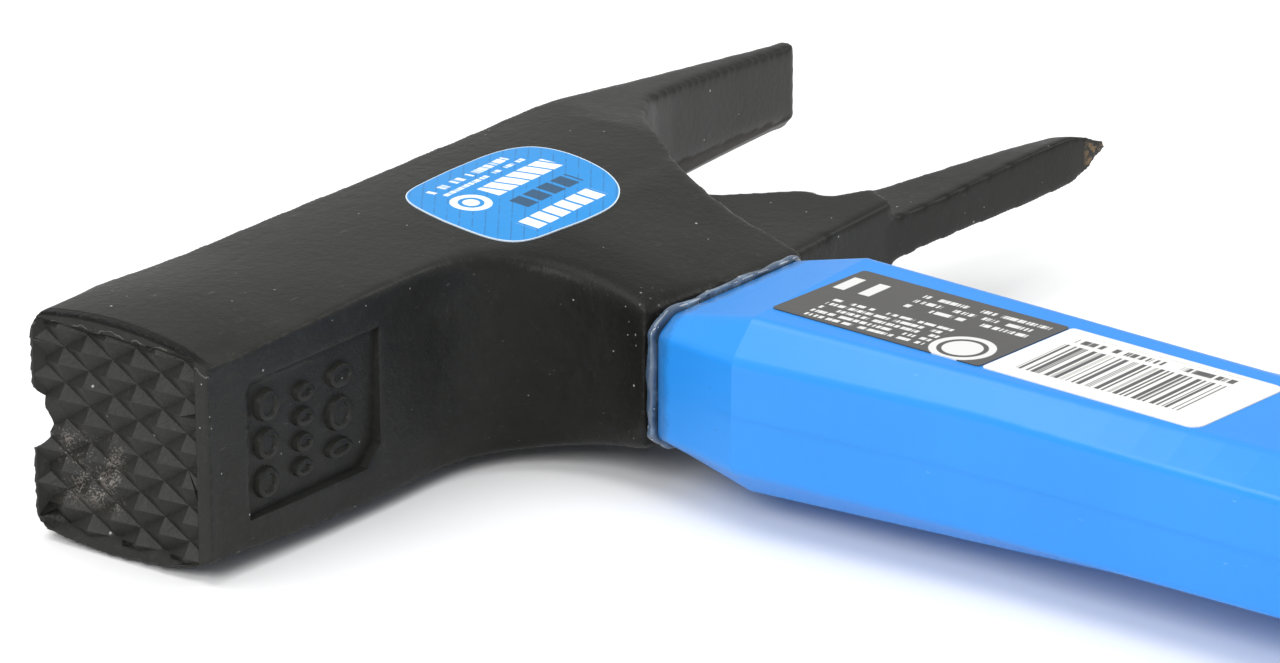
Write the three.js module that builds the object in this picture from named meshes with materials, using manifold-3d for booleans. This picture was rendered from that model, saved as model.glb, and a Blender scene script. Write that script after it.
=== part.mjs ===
// Carpenter's roofing hammer: a forged head with a milled face, a nail groove, a nail slot and a
// spike, on a glass-fibre handle with a moulded jacket and a soft grip.
//
// The shapes are built in the head's frame, in millimetres: the origin is the middle of the
// striking face, +X runs from the face to the spike, the handle runs to -Y, and +Z is the upper
// cheek of a hammer that lies on its side. The last group moves it so that the part's origin is
// under the middle of its bounding box.
import * as THREE from 'three';
import { mergeVertices } from 'three/addons/utils/BufferGeometryUtils.js';
import Module from 'manifold-3d';

const wasm = await Module();
wasm.setup();

const GAP = 0.3;

// Striking face
const FACE_TOP = 14;
const FACE_BOTTOM = -13.3;
const FACE_HALF_Z = 15.2;
const TOOTH_PITCH_Y = 7.44;
const TOOTH_PITCH_Z = 4.61;
const TOOTH_DEPTH = 1.2;
// Where the furrows of each direction cross the line halfway up the face
const FURROW_START = { 1: 2.93, '-1': 1.07 };
// Plain strips that the teeth leave along the lower edge and along the upper cheek
const TOOTH_BORDER = 1.9;
const TOOTH_TOP_BORDER = 1.6;

// Head outline
const POLL_BOTTOM = -16.5;
const CHEEK_HALF_Z = 14.4;
const BACK_TOP = 8.3;
const CLAW_ROOT_X = 108;
const CLAW_END_X = 153.5;
const CLAW_TAPER_X = 105;
const CLAW_END_HALF_Z = 6.5;
const CLAW_LOW_Z = -6.2;
const SLOT_ROOT_X = 97;
const SLOT_ROOT_Y = -10;
const WEB_HALF_Z = 5.5;
const SPIKE_ROOT_X = 100;
const SPIKE_TIP_X = 158;

// Socket and eye
const MOUTH_FRONT_X = 51.4;
const MOUTH_BACK_X = 80.8;
const MOUTH_FRONT_Y = -40.2;
const MOUTH_BACK_Y = -44;
const MOUTH_HALF_Z = 9.8;
const SHOULDER_Y = -18;
const SOCKET_WALL = 2.8;
const BEAD = 2.1;
const AXIS_X = 65.8;
const CORE_HALF_X = 8;
const CORE_HALF_Z = 4.2;
const CORE_END_Y = -262;

// Nail groove and its magnet
const GROOVE_WIDTH = 8;
const GROOVE_DEPTH = 2.5;
const GROOVE_END_X = 36;
const MAGNET_X = 17;
const MAGNET_RADIUS = 3;
const MAGNET_DEPTH = 6;
const MAGNET_Y = FACE_TOP - GROOVE_DEPTH - 1.5 - MAGNET_DEPTH / 2;

// Stamped panel under the poll
const PANEL_X = 18.4;
const PANEL_LENGTH = 23;
const PANEL_WIDTH = 17;
const PANEL_DEPTH = 1;

// Handle: half widths, half thicknesses and the side faces of the octagonal jacket, at the joint,
// at the end of its lead-in, at its waist and where it enters the grip
const JOINT_Y = MOUTH_FRONT_Y - BEAD;
const LEAD_IN_Y = -55;
const WAIST_Y = -88;
const GRIP_TOP_Y = -176;
const BUTT_Y = -316;
const JACKET_STATIONS = [
  { y: JOINT_Y, side: 14.2, flat: 11.3, halfZ: 8.6, sideZ: 6.8 },
  { y: LEAD_IN_Y, side: 17.2, flat: 12.7, halfZ: 11.4, sideZ: 7.1 },
  { y: WAIST_Y, side: 15.8, flat: 11.6, halfZ: 10.7, sideZ: 7.4 },
  { y: -131, side: 17.4, flat: 9.8, halfZ: 9.6, sideZ: 7.3 },
  { y: GRIP_TOP_Y, side: 17.4, flat: 9.8, halfZ: 9.6, sideZ: 7.3 },
];
const GRIP_STATIONS = [
  { y: GRIP_TOP_Y, halfX: 18.9, halfZ: 12.4 },
  { y: -188, halfX: 19.2, halfZ: 13.4 },
  { y: -222, halfX: 19.9, halfZ: 14.8 },
  { y: -262, halfX: 18.6, halfZ: 14.6 },
  { y: -292, halfX: 19.6, halfZ: 15.2 },
  { y: -307, halfX: 22.4, halfZ: 15.2 },
  { y: BUTT_Y, halfX: 21, halfZ: 12.8 },
];
const TANG_HALF_X = 13;
const TANG_HALF_Z = 8;
const GRIP_WALL = 4;
const WINDOW_TOP_Y = -198;
const WINDOW_BOTTOM_Y = -272;
const WINDOW_HALF_X = 6.5;
const HANG_HOLE_Y = -301;
const HANG_HOLE_RADIUS = 4.5;

// Labels
const LABEL_THICK = 0.3;
const LABEL_TOP_Y = -56.5;
const LABEL_SPLIT_Y = -88;
const LABEL_BOTTOM_Y = -116.2;
const LABEL_HALF_X = 8.6;
const LABEL_X = 63.8;
const LABEL_TURN = THREE.MathUtils.degToRad(-1.1);

const lerp = THREE.MathUtils.lerp;
const smooth = THREE.MathUtils.smoothstep;

// Turns an outline drawn in X and Y, and its depth, into one in Y and Z that runs along X.
const ALONG_HEAD = new THREE.Matrix4().makeBasis(
  new THREE.Vector3(0, 1, 0),
  new THREE.Vector3(0, 0, 1),
  new THREE.Vector3(1, 0, 0),
);

// ---------------------------------------------------------------- solids and booleans

function solid(geometry) {
  const bare = geometry.clone();
  bare.deleteAttribute('normal');
  bare.deleteAttribute('uv');
  const merged = mergeVertices(bare, 1e-4);
  return new wasm.Manifold(new wasm.Mesh({
    numProp: 3,
    vertProperties: new Float32Array(merged.attributes.position.array),
    triVerts: new Uint32Array(merged.index.array),
  }));
}

function geometryOf(manifold) {
  const mesh = manifold.getMesh();
  const geometry = new THREE.BufferGeometry();
  geometry.setAttribute('position', new THREE.BufferAttribute(mesh.vertProperties, 3));
  geometry.setIndex(new THREE.BufferAttribute(mesh.triVerts, 1));
  geometry.computeVertexNormals();
  return geometry;
}

// Moves every vertex of a geometry with a function that edits it in place.
function reshape(geometry, move) {
  const position = geometry.attributes.position;
  const point = new THREE.Vector3();
  for (let i = 0; i < position.count; i += 1) {
    point.fromBufferAttribute(position, i);
    move(point);
    position.setXYZ(i, point.x, point.y, point.z);
  }
  return geometry;
}

// A flat outline in X and Y, made thick from -halfZ to +halfZ.
function plate(shape, halfZ, curveSegments = 8) {
  const options = { depth: 2 * halfZ, bevelEnabled: false, curveSegments };
  return new THREE.ExtrudeGeometry(shape, options).translate(0, 0, -halfZ);
}

function polygon(points) {
  return new THREE.Shape(points.map(([x, y]) => new THREE.Vector2(x, y)));
}

// An outline in X and Z that runs down the handle from topY to bottomY, with steps to be shaped.
function handleRun(shape, topY, bottomY, steps, curveSegments = 6) {
  const options = { depth: topY - bottomY, steps, bevelEnabled: false, curveSegments };
  return new THREE.ExtrudeGeometry(shape, options).rotateX(Math.PI / 2).translate(0, topY, 0);
}

// ---------------------------------------------------------------- head

// Half the head's thickness: crowned cheeks that are widest at the face, a claw that thins to its
// end, and a neck that thins to the socket's mouth.
function cheekHalfZ(x, y) {
  const crownY = Math.max(y, SHOULDER_Y);
  const face = FACE_HALF_Z - 0.0092 * (crownY - 2) ** 2;
  const middle = CHEEK_HALF_Z - 0.005 * (crownY + 5) ** 2;
  const crowned = lerp(face, middle, smooth(x, 0, 32));
  const clawTaper = (x - CLAW_TAPER_X) / (CLAW_END_X - CLAW_TAPER_X);
  const claw = lerp(13, CLAW_END_HALF_Z, Math.max(clawTaper, -0.4));
  const down = SHOULDER_Y - y;
  const neck = down > 0 ? 13.9 - 0.17 * down - 0.00095 * down ** 2 : FACE_HALF_Z;
  return Math.min(crowned, claw, neck);
}

function cheekBody() {
  const [width, height, middleY] = [170, 70, -20];
  const body = new THREE.BoxGeometry(width, height, 2, 48, 28, 1).translate(80, middleY, 0);
  return reshape(body, (p) => {
    p.z = Math.sign(p.z) * cheekHalfZ(p.x, p.y);
  });
}

// The claw's slot side, from its root to its end.
function clawInnerY(x) {
  const part = (x - CLAW_ROOT_X) / (CLAW_END_X - CLAW_ROOT_X);
  return lerp(-1.6, 5.4, part ** 0.62);
}

function headOutline() {
  const shape = new THREE.Shape();
  shape.moveTo(0, FACE_BOTTOM);
  shape.quadraticCurveTo(12, -15.2, 38, POLL_BOTTOM);
  shape.bezierCurveTo(48.5, -16.9, 52.9, -24, 52.9, -33);
  shape.quadraticCurveTo(53, -37.5, MOUTH_FRONT_X, MOUTH_FRONT_Y);
  shape.lineTo(MOUTH_BACK_X, MOUTH_BACK_Y);
  shape.bezierCurveTo(83.6, -22, 94.6, -9.4, CLAW_ROOT_X, clawInnerY(CLAW_ROOT_X));
  for (let x = CLAW_ROOT_X + 3; x < CLAW_END_X - 1; x += 6) {
    shape.lineTo(x, clawInnerY(x));
  }
  shape.lineTo(CLAW_END_X - 0.8, clawInnerY(CLAW_END_X));
  shape.lineTo(CLAW_END_X, clawInnerY(CLAW_END_X) + 0.8);
  shape.lineTo(CLAW_END_X, BACK_TOP - 0.8);
  shape.lineTo(CLAW_END_X - 0.8, BACK_TOP);
  shape.lineTo(112, BACK_TOP - 0.4);
  shape.quadraticCurveTo(80, 8.2, 40, 11.9);
  shape.lineTo(0, FACE_TOP);
  return shape;
}

// The web between the claw and the spike, with the round root of the nail slot.
function webOutline() {
  const shape = new THREE.Shape();
  shape.moveTo(70, -2);
  shape.lineTo(CLAW_ROOT_X, clawInnerY(CLAW_ROOT_X) + 1);
  shape.quadraticCurveTo(SLOT_ROOT_X + 1, -4, SLOT_ROOT_X, SLOT_ROOT_Y);
  shape.quadraticCurveTo(SLOT_ROOT_X, -14, 100.6, -18.1);
  shape.lineTo(108.5, -26.7);
  shape.lineTo(107.8, -29.6);
  shape.lineTo(113.8, -33);
  shape.lineTo(110.6, -38);
  shape.lineTo(78, -38);
  return shape;
}

// The spike: a four-sided point, thinner on the side of the nail slot.
function spikeBody() {
  const length = SPIKE_TIP_X - SPIKE_ROOT_X;
  const square = polygon([[-1, -1], [1, -1], [1, 1], [-1, 1]]);
  const run = new THREE.ExtrudeGeometry(square, { depth: length, steps: 14, bevelEnabled: false });
  run.applyMatrix4(ALONG_HEAD).translate(SPIKE_ROOT_X, 0, 0);
  return reshape(run, (p) => {
    const along = (p.x - SPIKE_ROOT_X) / length;
    const point = smooth(p.x, SPIKE_TIP_X - 7, SPIKE_TIP_X + 0.5);
    const onSlotSide = p.y > 0;
    const under = lerp(-37.3, -41.7, along) + 0.4 * point;
    const over = lerp(-21, -39.2, along) - 1.3 * point;
    const thick = onSlotSide ? lerp(1.9, 1.4, along) : lerp(3.4, 2.45, along);
    p.y = onSlotSide ? over : under;
    p.z = Math.sign(p.z) * lerp(thick, 0.5, point);
  });
}

// Along the lower half of the claw's slot side the metal is cut back to a bevel.
function clawBevel() {
  const wedge = polygon([[-4, 0], [0, 0], [15, -17], [-4, -17]]);
  const depth = CLAW_END_X - CLAW_ROOT_X + 6;
  const cut = new THREE.ExtrudeGeometry(wedge, { depth, steps: 12, bevelEnabled: false });
  cut.applyMatrix4(ALONG_HEAD).translate(CLAW_ROOT_X, 0, 0);
  return reshape(cut, (p) => {
    p.y += clawInnerY(p.x);
    p.z += 1.4 - 0.115 * (p.x - CLAW_ROOT_X);
  });
}

// The claw is thinner below than above, with a slope back to the lower cheek.
function clawRelief() {
  const side = new THREE.Shape();
  side.moveTo(99, 18);
  side.lineTo(112, -CLAW_LOW_Z);
  side.lineTo(170, -CLAW_LOW_Z);
  side.lineTo(170, 18);
  const cut = new THREE.ExtrudeGeometry(side, { depth: 50, bevelEnabled: false });
  return cut.rotateX(-Math.PI / 2).translate(0, -35, 0);
}

// V-shaped furrows in two directions leave rows of four-sided teeth on the face.
function toothFurrows() {
  const angle = Math.atan2(TOOTH_PITCH_Z, TOOTH_PITCH_Y);
  const spacing = TOOTH_PITCH_Y * Math.sin(angle);
  const halfWidth = spacing / 2 - 0.12;
  const vee = polygon([[-0.4, -halfWidth - 0.4], [TOOTH_DEPTH, 0], [-0.4, halfWidth + 0.4]]);
  const furrow = new THREE.ExtrudeGeometry(vee, { depth: 60, bevelEnabled: false });
  furrow.translate(0, 0, -30);
  const cutters = [];
  for (const side of [-1, 1]) {
    for (let row = -5; row <= 5; row += 1) {
      const cut = furrow.clone();
      cut.rotateX(side * (Math.PI / 2 - angle));
      cut.translate(0, FURROW_START[side] + TOOTH_PITCH_Y * row, 0);
      cutters.push(solid(cut));
    }
  }
  const field = new THREE.BoxGeometry(6, FACE_TOP - FACE_BOTTOM, 2 * FACE_HALF_Z);
  field.translate(0, (FACE_TOP + FACE_BOTTOM) / 2 + TOOTH_BORDER, -TOOTH_TOP_BORDER);
  return wasm.Manifold.union(cutters).intersect(solid(field));
}

function nailGroove() {
  const round = new THREE.CylinderGeometry(GROOVE_WIDTH / 2, GROOVE_WIDTH / 2, GROOVE_END_X + 8, 16);
  round.rotateZ(Math.PI / 2).translate(GROOVE_END_X / 2 - 4, 0, 0);
  const stretch = new THREE.Matrix4().makeScale(1, 0.75, 1);
  round.applyMatrix4(stretch);
  const slope = Math.atan2(FACE_TOP - 12, 40);
  round.rotateZ(-slope).translate(0, FACE_TOP + 0.5, 0);
  return round;
}

function stampedPanel() {
  const half = PANEL_WIDTH / 2;
  const shape = polygon([[-PANEL_LENGTH / 2, -half], [PANEL_LENGTH / 2 - 2, -half],
    [PANEL_LENGTH / 2, 2 - half], [PANEL_LENGTH / 2, half], [-PANEL_LENGTH / 2, half]]);
  const panel = new THREE.ExtrudeGeometry(shape, { depth: 8, bevelEnabled: false });
  const slope = Math.atan2(FACE_BOTTOM - POLL_BOTTOM, 38);
  panel.rotateX(Math.PI / 2).rotateZ(-slope);
  return panel.translate(PANEL_X, -15.5 + PANEL_DEPTH, 0);
}

// The eye runs from the mouth to the top of the head.
function eyeRun(clearance, topY, bottomY) {
  const halfX = (MOUTH_BACK_X - MOUTH_FRONT_X) / 2 - SOCKET_WALL - clearance;
  const halfZ = MOUTH_HALF_Z - SOCKET_WALL - clearance;
  const run = handleRun(roundedOutline(halfX, halfZ, 3.5 - clearance), topY, bottomY, 1, 3);
  return solid(run.translate(AXIS_X, 0, 0));
}

function roundedOutline(halfX, halfY, radius) {
  const shape = new THREE.Shape();
  const [cornerX, cornerY] = [halfX - radius, halfY - radius];
  shape.absarc(cornerX, cornerY, radius, 0, Math.PI / 2);
  shape.absarc(-cornerX, cornerY, radius, Math.PI / 2, Math.PI);
  shape.absarc(-cornerX, -cornerY, radius, Math.PI, 1.5 * Math.PI);
  shape.absarc(cornerX, -cornerY, radius, 1.5 * Math.PI, 2 * Math.PI);
  shape.closePath();
  return shape;
}

function magnetPocket(clearance) {
  const radius = MAGNET_RADIUS + clearance;
  const pocket = new THREE.CylinderGeometry(radius, radius, MAGNET_DEPTH + 2 * clearance, 20);
  return pocket.translate(MAGNET_X, 0, 0);
}

function makeHead() {
  const blank = solid(plate(headOutline(), 20, 10)).intersect(solid(cheekBody()));
  const claw = blank.subtract(solid(clawRelief())).subtract(solid(clawBevel()));
  const web = solid(plate(webOutline(), WEB_HALF_Z, 6));
  let head = claw.add(web).add(solid(spikeBody()));
  head = head.subtract(eyeRun(0, 20, -60));
  head = head.subtract(solid(nailGroove()));
  const pocket = solid(magnetPocket(GAP).translate(0, MAGNET_Y, 0));
  head = head.subtract(pocket.add(pocket.translate([0, 3, 0])));
  head = head.subtract(solid(stampedPanel()));
  return head.subtract(toothFurrows());
}

// ---------------------------------------------------------------- handle

// The value of one field of a list of stations, smoothly between them down the handle.
function between(stations, y, field) {
  const last = stations.length - 1;
  if (y >= stations[0].y) return stations[0][field];
  for (let i = 0; i < last; i += 1) {
    const [upper, lower] = [stations[i], stations[i + 1]];
    if (y >= lower.y) {
      const part = (upper.y - y) / (upper.y - lower.y);
      return lerp(upper[field], lower[field], part);
    }
  }
  return stations[last][field];
}

const corner = (sx, sz) => [[2 * sx, sz], [sx, 2 * sz]];

// The jacket's octagon is drawn once with marked corners and takes its size from the stations.
function jacketRun(topY, bottomY, steps) {
  const [a, b, c, d] = [corner(1, 1), corner(-1, 1), corner(-1, -1), corner(1, -1)];
  const octagon = polygon([...a, ...b.reverse(), ...c, ...d.reverse()]);
  const run = handleRun(octagon, topY, bottomY, steps);
  return reshape(run, (p) => {
    const onSide = Math.abs(p.x) > 1.5;
    const halfX = between(JACKET_STATIONS, p.y, onSide ? 'side' : 'flat');
    const halfZ = between(JACKET_STATIONS, p.y, onSide ? 'sideZ' : 'halfZ');
    p.x = AXIS_X + Math.sign(p.x) * halfX;
    p.z = Math.sign(p.z) * halfZ;
  });
}

// Everything below the joint's slanted plane, a given distance under the socket's mouth.
function belowJoint(distance) {
  const slant = Math.atan2(MOUTH_BACK_Y - MOUTH_FRONT_Y, MOUTH_BACK_X - MOUTH_FRONT_X);
  const block = new THREE.BoxGeometry(80, 400, 60).translate(0, -200, 0).rotateZ(slant);
  const middleY = (MOUTH_FRONT_Y + MOUTH_BACK_Y) / 2;
  return solid(block.translate((MOUTH_FRONT_X + MOUTH_BACK_X) / 2, middleY - distance, 0));
}

function coreRun(clearance, topY, bottomY) {
  const shape = roundedOutline(CORE_HALF_X + clearance, CORE_HALF_Z + clearance, 2.5 + clearance);
  return solid(handleRun(shape, topY, bottomY, 1, 3).translate(AXIS_X, 0, 0));
}

function hangHole(clearance) {
  const radius = HANG_HOLE_RADIUS + clearance;
  const hole = new THREE.CylinderGeometry(radius, radius, 60, 24);
  return solid(hole.rotateX(Math.PI / 2).translate(AXIS_X, HANG_HOLE_Y, 0));
}

// A long window with round ends, through both broad sides.
function windowRun(clearance) {
  const halfLength = (WINDOW_TOP_Y - WINDOW_BOTTOM_Y) / 2 - clearance;
  const halfX = WINDOW_HALF_X - clearance;
  const shape = roundedOutline(halfX, halfLength, halfX);
  const middleY = (WINDOW_TOP_Y + WINDOW_BOTTOM_Y) / 2;
  return solid(plate(shape, 30, 6).translate(AXIS_X, middleY, 0));
}

function gripOuter(inset) {
  const unit = roundedOutline(1, 1, 0.62);
  const run = handleRun(unit, GRIP_TOP_Y - inset, BUTT_Y + inset, 28, 4);
  return solid(reshape(run, (p) => {
    p.x = AXIS_X + p.x * (between(GRIP_STATIONS, p.y, 'halfX') - inset);
    p.z *= between(GRIP_STATIONS, p.y, 'halfZ') - inset;
  }));
}

function tang(clearance) {
  const shape = roundedOutline(TANG_HALF_X + clearance, TANG_HALF_Z + clearance, 5 + clearance);
  const bottomY = BUTT_Y + GRIP_WALL - clearance;
  return solid(handleRun(shape, GRIP_TOP_Y + 4, bottomY, 1, 4).translate(AXIS_X, 0, 0));
}

function makeJacket() {
  const shank = solid(jacketRun(JOINT_Y + 6, GRIP_TOP_Y + GAP, 48)).intersect(belowJoint(BEAD));
  const pads = gripOuter(0.8).intersect(windowRun(GAP));
  const whole = shank.add(tang(0)).add(pads);
  return whole.subtract(coreRun(GAP, 0, CORE_END_Y)).subtract(hangHole(1.6));
}

function makeGrip() {
  const sleeve = gripOuter(0).subtract(tang(GAP)).subtract(windowRun(0));
  return sleeve.subtract(hangHole(0));
}

// The potting fills the eye around the core and stands out of the joint as a bead.
function makeResin() {
  const eyeTop = eyeRun(GAP, 7.6, -60).subtract(belowJoint(0));
  const ring = solid(jacketRun(JOINT_Y + 6, JOINT_Y - 12, 1));
  const bead = ring.intersect(belowJoint(GAP)).subtract(belowJoint(BEAD - GAP));
  const neck = eyeRun(GAP, -30, -60).subtract(belowJoint(BEAD - GAP));
  return eyeTop.add(neck).add(bead).subtract(coreRun(GAP, 5, -80));
}

// ---------------------------------------------------------------- labels

// A thin skin that follows a surface: the space between two offsets of it, inside an outline.
function skin(outer, inner, outline) {
  return outer.subtract(inner).intersect(outline);
}

function cheekLabelOutline() {
  const outline = new THREE.SplineCurve([
    [55.2, -1.2], [63.4, 0.5], [76, -0.6], [80.2, -5.6], [78, -16.4], [70.9, -22.2],
    [59.4, -22], [51.8, -19.8], [51.2, -10.5], [55.2, -1.2],
  ].map(([x, y]) => new THREE.Vector2(x, y)));
  return new THREE.Shape(outline.getPoints(48).slice(0, -1));
}

function makeHeadLabel() {
  const lift = (amount) => solid(reshape(
    new THREE.BoxGeometry(44, 34, 20, 14, 12, 1).translate(66, -10, 10),
    (p) => {
      p.z = p.z > 10 ? cheekHalfZ(p.x, p.y) + amount : 5;
    },
  ));
  const outline = plate(cheekLabelOutline(), 30);
  return skin(lift(GAP + LABEL_THICK), lift(GAP), solid(outline));
}

function labelStrip(topY, bottomY) {
  const shape = roundedOutline(LABEL_HALF_X, (topY - bottomY) / 2, 1);
  const strip = plate(shape, 30, 4).translate(0, (topY + bottomY) / 2 - LABEL_SPLIT_Y, 0);
  return solid(strip.rotateZ(LABEL_TURN).translate(LABEL_X, LABEL_SPLIT_Y, 30));
}

function makeHandleLabel(topY, bottomY) {
  const face = (lift) => solid(reshape(
    new THREE.BoxGeometry(30, 80, 4, 1, 20, 1).translate(AXIS_X, -88, 0),
    (p) => {
      p.z = p.z > 0 ? between(JACKET_STATIONS, p.y, 'halfZ') + lift : 0;
    },
  ));
  return skin(face(GAP + LABEL_THICK), face(GAP), labelStrip(topY, bottomY));
}

// ---------------------------------------------------------------- assembly

const parts = [];

function add(name, manifold, color, roughness, metalness) {
  const material = new THREE.MeshStandardMaterial({ color, roughness, metalness });
  const mesh = new THREE.Mesh(geometryOf(manifold), material);
  mesh.name = name;
  parts.push(mesh);
}

add('head', makeHead(), 0x2b2b29, 0.42, 0.35);
add('nail_magnet', solid(magnetPocket(0).translate(0, MAGNET_Y, 0)), 0xa9abad, 0.3, 0.9);
add('glass_fibre_core', coreRun(0, 4.7, CORE_END_Y + GAP), 0xcfc7a2, 0.5, 0);
add('eye_resin', makeResin(), 0xb9c4c9, 0.15, 0);
add('handle_jacket', makeJacket(), 0x0b8fd6, 0.35, 0);
add('rubber_grip', makeGrip(), 0x1c1c1e, 0.8, 0);
add('head_label', makeHeadLabel(), 0x3fa9dc, 0.3, 0);
add('care_label', makeHandleLabel(LABEL_TOP_Y, LABEL_SPLIT_Y + GAP), 0x5b5c5a, 0.4, 0);
add('stock_label', makeHandleLabel(LABEL_SPLIT_Y - GAP, LABEL_BOTTOM_Y), 0xe9e9e6, 0.4, 0);

const hammer = new THREE.Group();
hammer.add(...parts);
const box = new THREE.Box3().setFromObject(hammer);
hammer.position.set(-(box.min.x + box.max.x) / 2, -(box.min.y + box.max.y) / 2, -box.min.z);
const group = new THREE.Group();
group.add(hammer);
export default group;
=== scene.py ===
"""Roofing hammer: the looks of each piece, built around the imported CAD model.

Pieces are modelled in millimetres in the head's own frame: the origin is the middle of the striking
face, +X runs to the spike, the handle runs to -Y and +Z is the upper cheek. Each finished piece is
then placed in the row's frame, in metres.
"""

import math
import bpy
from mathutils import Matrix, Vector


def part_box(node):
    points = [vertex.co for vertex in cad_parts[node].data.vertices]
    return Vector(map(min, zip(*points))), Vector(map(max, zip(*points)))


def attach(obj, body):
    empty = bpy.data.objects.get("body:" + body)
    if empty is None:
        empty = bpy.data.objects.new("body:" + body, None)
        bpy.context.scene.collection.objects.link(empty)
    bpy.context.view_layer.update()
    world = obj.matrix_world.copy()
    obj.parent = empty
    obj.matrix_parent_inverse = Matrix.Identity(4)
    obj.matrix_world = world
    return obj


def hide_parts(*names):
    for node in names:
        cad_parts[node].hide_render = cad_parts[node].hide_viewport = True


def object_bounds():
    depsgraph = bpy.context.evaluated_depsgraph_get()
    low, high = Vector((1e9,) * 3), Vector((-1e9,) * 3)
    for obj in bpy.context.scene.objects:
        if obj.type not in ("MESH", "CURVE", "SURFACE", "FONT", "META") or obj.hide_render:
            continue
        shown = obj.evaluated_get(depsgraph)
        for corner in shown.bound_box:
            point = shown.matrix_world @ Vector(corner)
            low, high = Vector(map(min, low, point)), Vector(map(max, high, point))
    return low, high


bl_info = {
    "name": "Roofing Hammer",
    "version": (1, 0, 0),
    "blender": (4, 5, 0),
    "location": "View3D > Sidebar > Hammer",
    "description": "Builds a roofing hammer with a forged head and a moulded handle",
    "category": "Add Mesh",
}

import bmesh
import bpy
from mathutils import Euler, Matrix, Vector, noise
from mathutils.bvhtree import BVHTree
from mathutils.kdtree import KDTree

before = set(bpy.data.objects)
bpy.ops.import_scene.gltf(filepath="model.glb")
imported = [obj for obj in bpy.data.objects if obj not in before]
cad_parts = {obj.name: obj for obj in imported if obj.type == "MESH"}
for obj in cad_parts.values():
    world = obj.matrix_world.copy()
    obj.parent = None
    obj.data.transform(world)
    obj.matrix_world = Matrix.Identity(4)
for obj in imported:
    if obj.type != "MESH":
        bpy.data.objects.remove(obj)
CAD_LOW, CAD_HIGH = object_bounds()
HEAD_LOW, HEAD_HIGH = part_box("head")

FACE_TOP = 14.0
FACE_HALF_Z = 15.2
FACE_CROWN = 0.0092
CROWN_Y = 2
# Beyond this x the head has parted into the claw above and the spike below
PRONGS_X = 96
CLAW_LOW_Y = -14
PANEL_MIDDLE = (18.4, -14.5, 0)
PANEL_SLOPE = math.atan2(3.2, 38)
MAGNET_X = 17
AXIS_X = 65.8
JOINT_FRONT = Vector((51.4, -40.2, 0))
JOINT_BACK = Vector((80.8, -44.0, 0))
LEAD_IN_Y = -55.0
GRIP_TOP_Y = -176.0
BUTT_Y = -316.0
WINDOW_Y = -235.0
HANG_HOLE_Y = -301
HANG_HOLE_RADIUS = 4.5
# The handle's labels: where they meet, and how far they are turned and set askew
LABEL_X, LABEL_Y = 65.0, -86.3
LABEL_HALF_WIDTH = 8.6
LABEL_TURN = math.radians(1.1)
LABEL_SKEW = -0.11
CHEEK_LABEL_X, CHEEK_LABEL_Y = 67, -10.3
CAMERA_PLACE = Vector((-552.5, -462.5, 294.2))
CAMERA_AHEAD = Vector((0.7632, 0.5344, -0.3633))
CAMERA_RIGHT = Vector((0.5736, -0.8192, 0))

# The middle of the striking face in the row's frame, in metres
FACE_MIDDLE = Vector((HEAD_LOW.x, HEAD_HIGH.y - FACE_TOP / 1000, (HEAD_LOW.z + HEAD_HIGH.z) / 2))
TO_ROW = Matrix.Translation(FACE_MIDDLE) @ Matrix.Scale(0.001, 4)
TO_HEAD = TO_ROW.inverted()

# y, half width at the side faces, half width of the flats, half thickness, half height of the sides
JACKET_STATIONS = (
    (-42.3, 14.2, 11.3, 8.6, 6.8),
    (LEAD_IN_Y, 17.2, 12.7, 11.4, 7.1),
    (-88.0, 15.8, 11.6, 10.7, 7.4),
    (-131.0, 17.4, 9.8, 9.6, 7.3),
    (GRIP_TOP_Y, 17.4, 9.8, 9.6, 7.3),
)
# y, half width and half thickness of the grip
GRIP_STATIONS = (
    (GRIP_TOP_Y, 18.9, 12.4),
    (-188.0, 19.2, 13.4),
    (-222.0, 19.9, 14.8),
    (-262.0, 18.6, 14.6),
    (-292.0, 19.6, 15.2),
    (-307.0, 22.4, 15.2),
    (BUTT_Y, 21.0, 12.8),
)


def mm(metres):
    return metres * 1000


def lerp(a, b, part):
    return a + (b - a) * part


def smoothstep(low, high, value):
    part = min(max((value - low) / (high - low), 0), 1)
    return part * part * (3 - 2 * part)


def between(stations, y):
    """The sizes at y, from the stations above and below it."""
    if y >= stations[0][0]:
        return stations[0][1:]
    for upper, lower in zip(stations, stations[1:]):
        if y >= lower[0]:
            part = (upper[0] - y) / (upper[0] - lower[0])
            return tuple(lerp(a, b, part) for a, b in zip(upper[1:], lower[1:]))
    return stations[-1][1:]


# ---------------------------------------------------------------- shader


class Value:
    """A number socket. Arithmetic on it adds Math nodes."""

    def __init__(self, surface, socket):
        self.surface = surface
        self.socket = socket

    def math(self, operation, *values):
        return self.surface.math(operation, *values)

    def __add__(self, other):
        return self.math("ADD", self, other)

    __radd__ = __add__

    def __sub__(self, other):
        return self.math("SUBTRACT", self, other)

    def __rsub__(self, other):
        return self.math("SUBTRACT", other, self)

    def __mul__(self, other):
        return self.math("MULTIPLY", self, other)

    __rmul__ = __mul__

    def __truediv__(self, other):
        return self.math("DIVIDE", self, other)

    def __abs__(self):
        return self.math("ABSOLUTE", self)

    def fraction(self):
        return self.math("FRACT", self)

    def whole(self):
        return self.math("FLOOR", self)

    def largest(self, other):
        return self.math("MAXIMUM", self, other)

    def smallest(self, other):
        return self.math("MINIMUM", self, other)

    def root(self):
        return self.math("SQRT", self)

    def above(self, edge, soft=0.01):
        """1 where the value is above edge and 0 below it, over a soft band."""
        sockets = {"Value": self, "From Min": edge - soft, "From Max": edge + soft}
        settings = {"interpolation_type": "SMOOTHSTEP"}
        return self.surface.number("ShaderNodeMapRange", settings, sockets)

    def below(self, edge, soft=0.01):
        return 1 - self.above(edge, soft)

    def inside(self, low, high, soft=0.01):
        return self.above(low, soft) * self.below(high, soft)


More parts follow.
